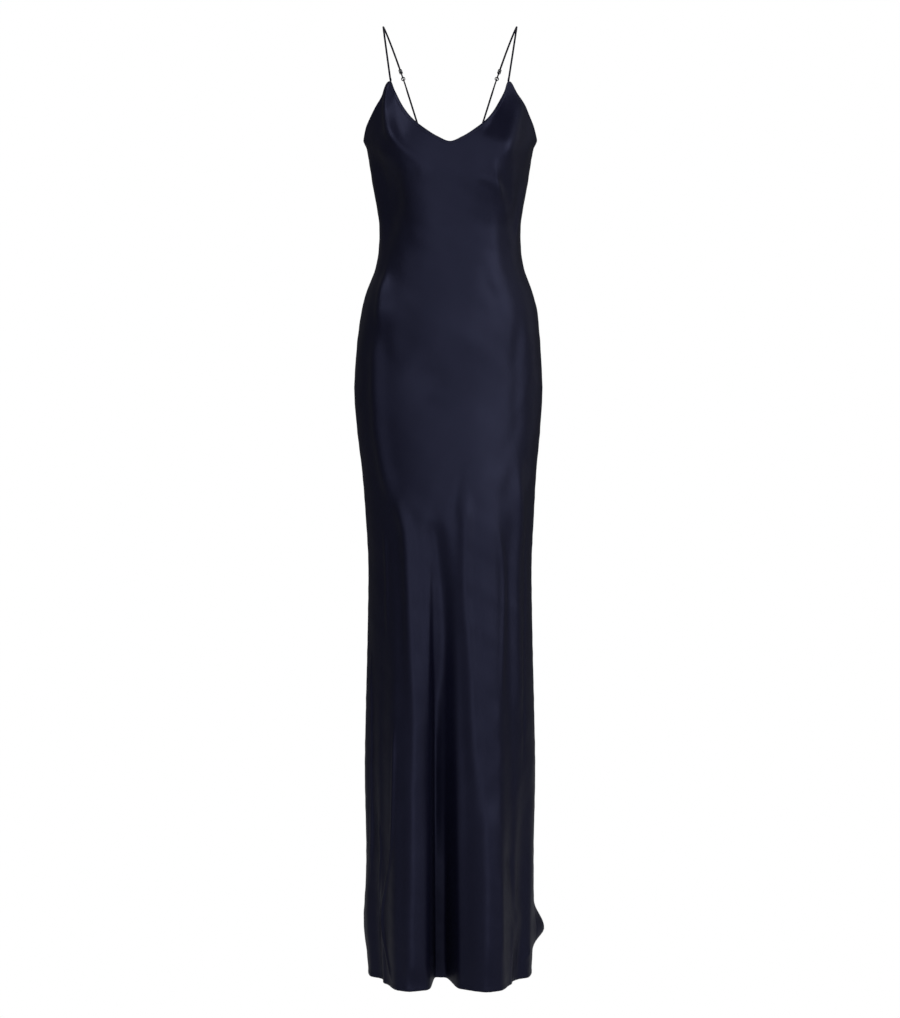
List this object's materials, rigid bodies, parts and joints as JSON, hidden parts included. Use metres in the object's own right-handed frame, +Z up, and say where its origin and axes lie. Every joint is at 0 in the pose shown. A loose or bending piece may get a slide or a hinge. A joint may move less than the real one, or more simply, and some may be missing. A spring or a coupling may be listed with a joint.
{
  "type": "slip dress",
  "caption": "Full-length bias-cut satin slip dress with a V neck, a low straight back and thin adjustable shoulder straps, hollow and in its worn shape.",
  "frame": {"origin": "midway between the two shoulder straps, at the height where they rest on the shoulders", "axes": "+Z up, the front of the dress faces -Y, +X towards the wearer's left"},
  "size_m": [0.3108, 0.2427, 1.5452],
  "materials": {
    "satin": "navy silk satin, glossy face out",
    "rouleau": "navy satin turned into a thin round cord",
    "strap_metal": "navy-black coated metal, semi-gloss"
  },
  "bodies": {
    "root": {"front_panel": "satin", "back_panel": "satin", "strap_left": "rouleau", "strap_right": "rouleau", "back_strap_left": "rouleau", "back_strap_right": "rouleau", "slider_left": "strap_metal", "slider_right": "strap_metal", "ring_left": "strap_metal", "ring_right": "strap_metal"}
  },
  "joints": []
}
